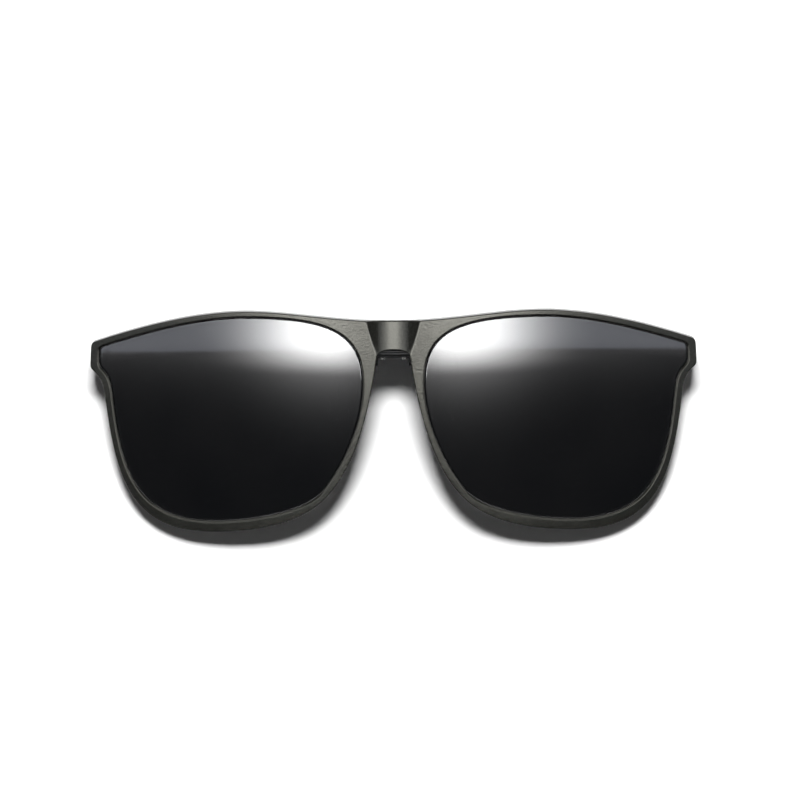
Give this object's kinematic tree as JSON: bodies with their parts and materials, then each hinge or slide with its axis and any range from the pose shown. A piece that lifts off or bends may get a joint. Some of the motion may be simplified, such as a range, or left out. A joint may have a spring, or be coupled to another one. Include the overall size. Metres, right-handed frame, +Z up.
{
  "type": "clip-on flip-up sun lenses",
  "caption": "Flip-up sun-lens front with polarised lenses, hinged at the bridge to a sprung wire clip that grips spectacle lenses.",
  "frame": {"origin": "on the table under the middle of the object's box, lying on its back with the face up", "axes": "+X towards the wearer's left lens, +Y towards the brow, +Z up out of the table and out of the face"},
  "size_m": [0.1452, 0.053, 0.0139],
  "materials": {
    "front_plastic": "fine-grained matte charcoal",
    "lens": "polished, dark grey polarised",
    "black_steel": "black coated, satin",
    "spring_steel": "blackened spring steel",
    "silicone": "clear silicone",
    "pad_rubber": "ribbed matte rubber"
  },
  "bodies": {
    "clip": {"clip_body": "black_steel", "detent_leaf": "spring_steel", "leaf_rivet": "black_steel", "jaw_pin": "black_steel", "jaw_spring": "spring_steel", "front_arm_right": "black_steel", "front_arm_left": "black_steel", "front_tip_right": "silicone", "front_tip_left": "silicone"},
    "front": {"front_frame": "front_plastic", "lens_right": "lens", "lens_left": "lens", "hinge_bracket": "black_steel", "bracket_screws": "black_steel", "flip_pin": "black_steel"},
    "rear_jaw": {"rear_lever": "black_steel", "rear_arm_right": "black_steel", "rear_arm_left": "black_steel", "rear_tip_right": "silicone", "rear_tip_left": "silicone", "lever_pad": "pad_rubber"}
  },
  "joints": [
    {"name": "flip_hinge", "type": "hinge", "parent": "clip", "child": "front", "pos_m": [0, 0.02151, 0.00765], "axis": [-1, 0, 0], "range_deg": [0, 90], "deforming": ["detent_leaf"]},
    {"name": "jaw_pivot", "type": "hinge", "parent": "clip", "child": "rear_jaw", "pos_m": [0, 0.01569, 0.0048], "axis": [1, 0, 0], "range_deg": [0, 25], "stiffness_Nm_per_rad": 0.03, "springref_deg": -28.65, "deforming": ["jaw_spring"]}
  ]
}
